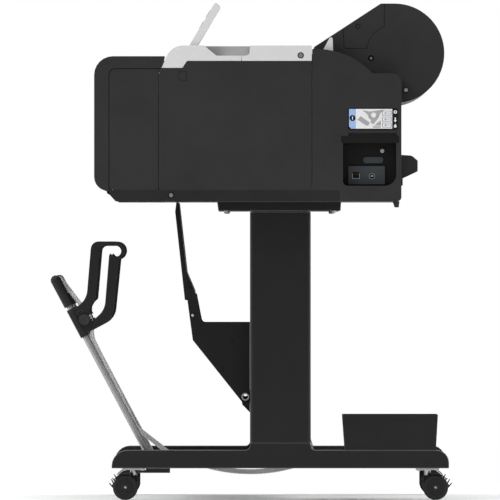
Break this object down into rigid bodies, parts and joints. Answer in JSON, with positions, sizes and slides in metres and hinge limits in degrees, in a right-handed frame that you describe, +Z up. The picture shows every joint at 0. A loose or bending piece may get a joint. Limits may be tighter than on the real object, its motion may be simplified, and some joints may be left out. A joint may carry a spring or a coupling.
{
  "type": "large format plotter",
  "caption": "Large format roll-fed plotter on a castered stand, with a tilting operation panel, hinged covers and a fabric print basket.",
  "frame": {"origin": "on the floor, at the middle of the machine's footprint", "axes": "+X to the machine's right, the front faces -Y, +Z up"},
  "size_m": [1.289, 0.8596, 1.0628],
  "materials": {
    "housing_plastic": "fine moulded texture",
    "light_plastic": "satin",
    "smoked_window": "polished",
    "display_glass": "polished",
    "dark_plastic": "satin",
    "wheel_tread": "satin",
    "port_plastic": "satin",
    "frame_steel": "zinc plated",
    "circuit_board": "soldered board",
    "leg_paint": "powder coat",
    "pipe_steel": "satin",
    "cloth": "woven polyester",
    "roller_rubber": "matte",
    "media_paper": "matte coated"
  },
  "bodies": {
    "root": {"base_tray": "housing_plastic", "side_frames": "frame_steel", "platen": "dark_plastic", "carriage_rail": "frame_steel", "right_side_cover": "housing_plastic", "left_side_cover": "housing_plastic", "right_rear_cover": "housing_plastic", "left_rear_cover": "housing_plastic", "right_top_cap": "light_plastic", "left_top_cap": "light_plastic", "front_panel": "housing_plastic", "rear_panel": "housing_plastic", "ink_bay": "housing_plastic", "maintenance_bay": "housing_plastic", "port_panel": "port_plastic", "sockets": "port_plastic", "side_screws": "frame_steel", "electronics": "circuit_board", "ink_tanks": "dark_plastic", "right_leg": "leg_paint", "left_leg": "leg_paint", "cross_stay": "leg_paint", "caster_plates": "frame_steel", "rear_cloth_rod": "pipe_steel", "guide_brackets": "leg_paint", "basket_cloth_rear": "cloth", "accessory_pocket": "dark_plastic"},
    "top_cover": {"top_cover": "light_plastic", "top_window": "smoked_window"},
    "operation_panel": {"panel_shell": "light_plastic", "panel_display": "display_glass"},
    "power_button": {"power_button": "dark_plastic"},
    "stop_button": {"stop_button": "dark_plastic"},
    "ink_cover": {"ink_cover": "housing_plastic"},
    "maintenance_cover": {"maintenance_cover": "housing_plastic"},
    "release_lever": {"release_lever": "light_plastic"},
    "pinch_rollers": {"pinch_rollers": "roller_rubber"},
    "roll_cover": {"roll_cover": "housing_plastic"},
    "spindle": {"spindle_shaft": "dark_plastic", "media_roll": "media_paper"},
    "feed_roller": {"feed_roller": "roller_rubber"},
    "carriage": {"carriage": "dark_plastic"},
    "basket": {"basket_frame": "pipe_steel", "frame_sleeves": "dark_plastic", "basket_arms": "dark_plastic", "stacker_rod": "pipe_steel", "basket_cloth_front": "cloth"},
    "paper_guide": {"paper_guide": "dark_plastic"},
    "caster_front_right": {"caster_hood_front_right": "dark_plastic"},
    "wheels_front_right": {"wheels_front_right": "wheel_tread"},
    "brake_front_right": {"brake_front_right": "dark_plastic"},
    "caster_front_left": {"caster_hood_front_left": "dark_plastic"},
    "wheels_front_left": {"wheels_front_left": "wheel_tread"},
    "brake_front_left": {"brake_front_left": "dark_plastic"},
    "caster_rear_right": {"caster_hood_rear_right": "dark_plastic"},
    "wheels_rear_right": {"wheels_rear_right": "wheel_tread"},
    "brake_rear_right": {"brake_rear_right": "dark_plastic"},
    "caster_rear_left": {"caster_hood_rear_left": "dark_plastic"},
    "wheels_rear_left": {"wheels_rear_left": "wheel_tread"},
    "brake_rear_left": {"brake_rear_left": "dark_plastic"}
  },
  "joints": [
    {"name": "roll_cover_hinge", "type": "hinge", "parent": "root", "child": "roll_cover", "pos_m": [0, 0.3335, 0.877], "axis": [-1, 0, 0], "range_deg": [0, 50]},
    {"name": "top_cover_hinge", "type": "hinge", "parent": "root", "child": "top_cover", "pos_m": [0, 0.131, 0.9705], "axis": [-1, 0, 0], "range_deg": [0, 70]},
    {"name": "panel_tilt", "type": "hinge", "parent": "root", "child": "operation_panel", "pos_m": [0.55, -0.12614, 0.95879], "axis": [-1, 0, 0], "range_deg": [-31, 59]},
    {"name": "power_button_press", "type": "slide", "parent": "operation_panel", "child": "power_button", "axis": [0, 0.8572, -0.515], "range_m": [0, 0.001], "stiffness_N_per_m": 400},
    {"name": "stop_button_press", "type": "slide", "parent": "operation_panel", "child": "stop_button", "axis": [0, 0.8572, -0.515], "range_m": [0, 0.001], "stiffness_N_per_m": 400},
    {"name": "ink_cover_hinge", "type": "hinge", "parent": "root", "child": "ink_cover", "pos_m": [0.537, -0.3028, 0.6576], "axis": [1, 0, 0], "range_deg": [0, 60]},
    {"name": "maintenance_cover_hinge", "type": "hinge", "parent": "root", "child": "maintenance_cover", "pos_m": [-0.57, -0.3028, 0.6576], "axis": [1, 0, 0], "range_deg": [0, 60]},
    {"name": "release_lever_pivot", "type": "hinge", "parent": "root", "child": "release_lever", "pos_m": [0.6, 0.165, 0.9], "axis": [-1, 0, 0], "range_deg": [0, 30]},
    {"name": "pinch_lift", "type": "hinge", "parent": "root", "child": "pinch_rollers", "pos_m": [0, 0.1, 0.889], "axis": [-1, 0, 0], "range_deg": [0, 6]},
    {"name": "spindle_spin", "type": "hinge", "parent": "root", "child": "spindle", "pos_m": [0, 0.309, 0.9555], "axis": [1, 0, 0], "continuous": true},
    {"name": "feed_roller_spin", "type": "hinge", "parent": "root", "child": "feed_roller", "pos_m": [0, 0.06, 0.85], "axis": [1, 0, 0], "continuous": true},
    {"name": "carriage_slide", "type": "slide", "parent": "root", "child": "carriage", "axis": [-1, 0, 0], "range_m": [0, 0.94]},
    {"name": "basket_fold", "type": "hinge", "parent": "root", "child": "basket", "pos_m": [0, -0.2096, 0.0813], "axis": [-1, 0, 0], "range_deg": [0, 12.5]},
    {"name": "paper_guide_swing", "type": "hinge", "parent": "root", "child": "paper_guide", "pos_m": [0, -0.1296, 0.4406], "axis": [-1, 0, 0], "range_deg": [0, 18]},
    {"name": "caster_swivel_front_right", "type": "hinge", "parent": "root", "child": "caster_front_right", "pos_m": [0.535, -0.2492, 0.04], "axis": [0, 0, 1], "continuous": true},
    {"name": "wheel_roll_front_right", "type": "hinge", "parent": "caster_front_right", "child": "wheels_front_right", "pos_m": [0.535, -0.2667, 0.027], "axis": [1, 0, 0], "continuous": true},
    {"name": "brake_press_front_right", "type": "hinge", "parent": "caster_front_right", "child": "brake_front_right", "pos_m": [0.535, -0.2929, 0.03], "axis": [1, 0, 0], "range_deg": [0, 15]},
    {"name": "caster_swivel_front_left", "type": "hinge", "parent": "root", "child": "caster_front_left", "pos_m": [-0.535, -0.2492, 0.04], "axis": [0, 0, 1], "continuous": true},
    {"name": "wheel_roll_front_left", "type": "hinge", "parent": "caster_front_left", "child": "wheels_front_left", "pos_m": [-0.535, -0.2667, 0.027], "axis": [1, 0, 0], "continuous": true},
    {"name": "brake_press_front_left", "type": "hinge", "parent": "caster_front_left", "child": "brake_front_left", "pos_m": [-0.535, -0.2929, 0.03], "axis": [1, 0, 0], "range_deg": [0, 15]},
    {"name": "caster_swivel_rear_right", "type": "hinge", "parent": "root", "child": "caster_rear_right", "pos_m": [0.535, 0.3797, 0.04], "axis": [0, 0, 1], "continuous": true},
    {"name": "wheel_roll_rear_right", "type": "hinge", "parent": "caster_rear_right", "child": "wheels_rear_right", "pos_m": [0.535, 0.3972, 0.027], "axis": [1, 0, 0], "continuous": true},
    {"name": "brake_press_rear_right", "type": "hinge", "parent": "caster_rear_right", "child": "brake_rear_right", "pos_m": [0.535, 0.4234, 0.03], "axis": [-1, 0, 0], "range_deg": [0, 15]},
    {"name": "caster_swivel_rear_left", "type": "hinge", "parent": "root", "child": "caster_rear_left", "pos_m": [-0.535, 0.3797, 0.04], "axis": [0, 0, 1], "continuous": true},
    {"name": "wheel_roll_rear_left", "type": "hinge", "parent": "caster_rear_left", "child": "wheels_rear_left", "pos_m": [-0.535, 0.3972, 0.027], "axis": [1, 0, 0], "continuous": true},
    {"name": "brake_press_rear_left", "type": "hinge", "parent": "caster_rear_left", "child": "brake_rear_left", "pos_m": [-0.535, 0.4234, 0.03], "axis": [-1, 0, 0], "range_deg": [0, 15]}
  ],
  "couplings": [
    {"joint": "pinch_lift", "follows": "release_lever_pivot", "ratio": 0.2}
  ]
}
